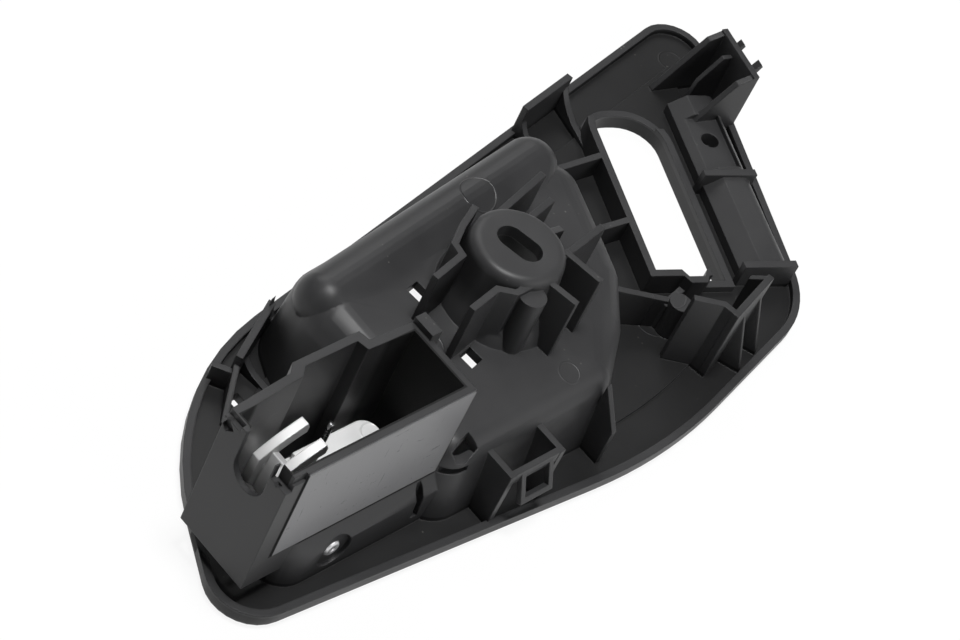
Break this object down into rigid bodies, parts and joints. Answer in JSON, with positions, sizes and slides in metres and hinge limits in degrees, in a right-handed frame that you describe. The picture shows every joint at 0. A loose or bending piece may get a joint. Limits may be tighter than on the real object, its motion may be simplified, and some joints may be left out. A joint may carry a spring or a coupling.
{
  "type": "car interior door handle",
  "caption": "Inside door handle: a lever on a spring-loaded pin in a moulded bezel, seen from its ribbed back with finger bowl, cable box, screw turret and clips.",
  "frame": {"origin": "centre of the bezel's outline in plan, on the plane of its front rim, which is the bottom as it lies", "axes": "+X along the bezel towards the switch opening, +Y across it towards the higher edge, +Z out of the back, away from the cabin"},
  "size_m": [0.2082, 0.0954, 0.0431],
  "materials": {
    "housing": "matt, fine moulded grain",
    "lever": "satin, die-cast and chrome-plated",
    "pivot_pin": "turned bright",
    "return_spring": "drawn wire",
    "rest_buffer": "soft, matt"
  },
  "bodies": {
    "bezel": {"housing": "housing", "pivot_pin": "pivot_pin", "return_spring": "return_spring", "rest_buffer": "rest_buffer"},
    "lever": {"lever": "lever"}
  },
  "joints": [
    {"name": "lever_pull", "type": "hinge", "parent": "bezel", "child": "lever", "pos_m": [-0.07948, -0.02323, 0.0084], "axis": [0, 1, 0], "range_deg": [0, 40], "stiffness_Nm_per_rad": 0.08, "springref_deg": -34.38, "deforming": ["return_spring"]}
  ]
}
